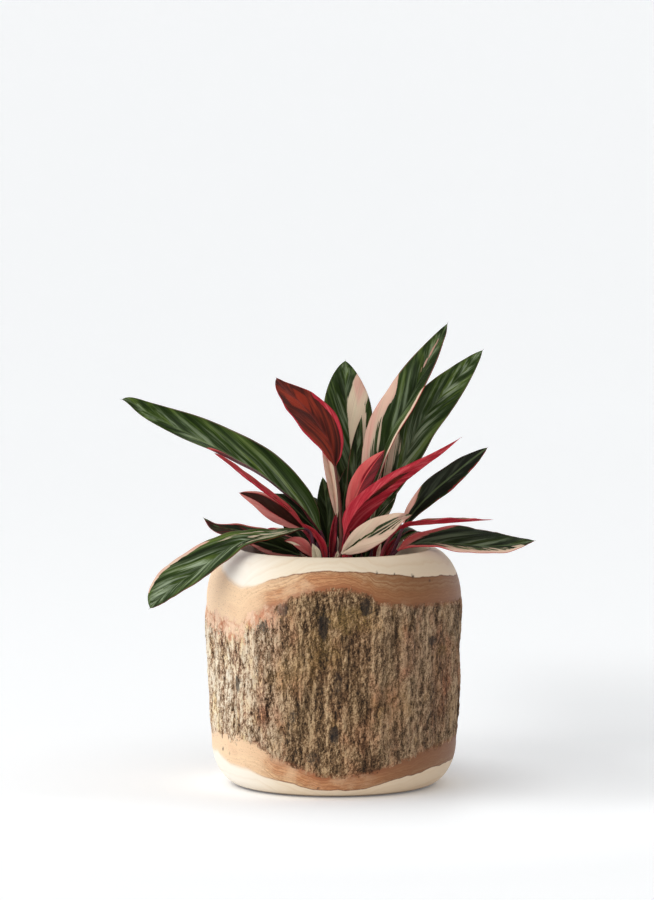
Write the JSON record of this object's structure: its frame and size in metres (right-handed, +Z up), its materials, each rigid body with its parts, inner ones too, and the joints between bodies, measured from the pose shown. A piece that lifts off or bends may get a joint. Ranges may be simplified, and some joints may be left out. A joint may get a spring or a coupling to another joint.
{
  "type": "potted stromanthe",
  "caption": "Tricolour stromanthe with green, crimson and cream leaves growing in a pot hollowed from a log with its bark left on.",
  "frame": {"origin": "the middle of the flat foot of the pot, on the surface that it stands on", "axes": "+Z up along the axis of the pot, -Y towards the front, +X to the right as seen from the front"},
  "size_m": [0.3264, 0.2307, 0.3652],
  "materials": {
    "log": "rough natural bark band between turned and sanded pale wood",
    "soil": "crumbly dark potting mix of bark fibre",
    "leaf_green": "satin leaf, green with pale feathering above and maroon below",
    "leaf_crimson": "satin leaf, crimson and maroon underside",
    "leaf_peach": "satin leaf, cream and pink with green streaks"
  },
  "bodies": {
    "root": {"log_pot": "log", "soil": "soil", "leaf_long_left": "leaf_green", "leaf_rolled_left": "leaf_crimson", "leaf_coral_left": "leaf_crimson", "leaf_dark_left": "leaf_green", "leaf_over_rim": "leaf_green", "leaf_in_mouth_left": "leaf_green", "leaf_mauve_left": "leaf_peach", "leaf_red_back": "leaf_crimson", "leaf_pale_upright": "leaf_peach", "leaf_centre_tall": "leaf_green", "leaf_tall_right": "leaf_green", "leaf_upper_right": "leaf_green", "leaf_crimson_front": "leaf_crimson", "leaf_crimson_behind": "leaf_crimson", "leaf_dark_right": "leaf_green", "leaf_peach_front": "leaf_peach", "leaf_narrow_right": "leaf_crimson", "leaf_low_right": "leaf_green", "leaf_dark_behind_left": "leaf_green", "leaf_back_tall": "leaf_green", "leaf_back_right": "leaf_green", "leaf_back_low_left": "leaf_green", "leaf_back_low_right": "leaf_green", "leaf_back_middle": "leaf_green"}
  },
  "joints": []
}
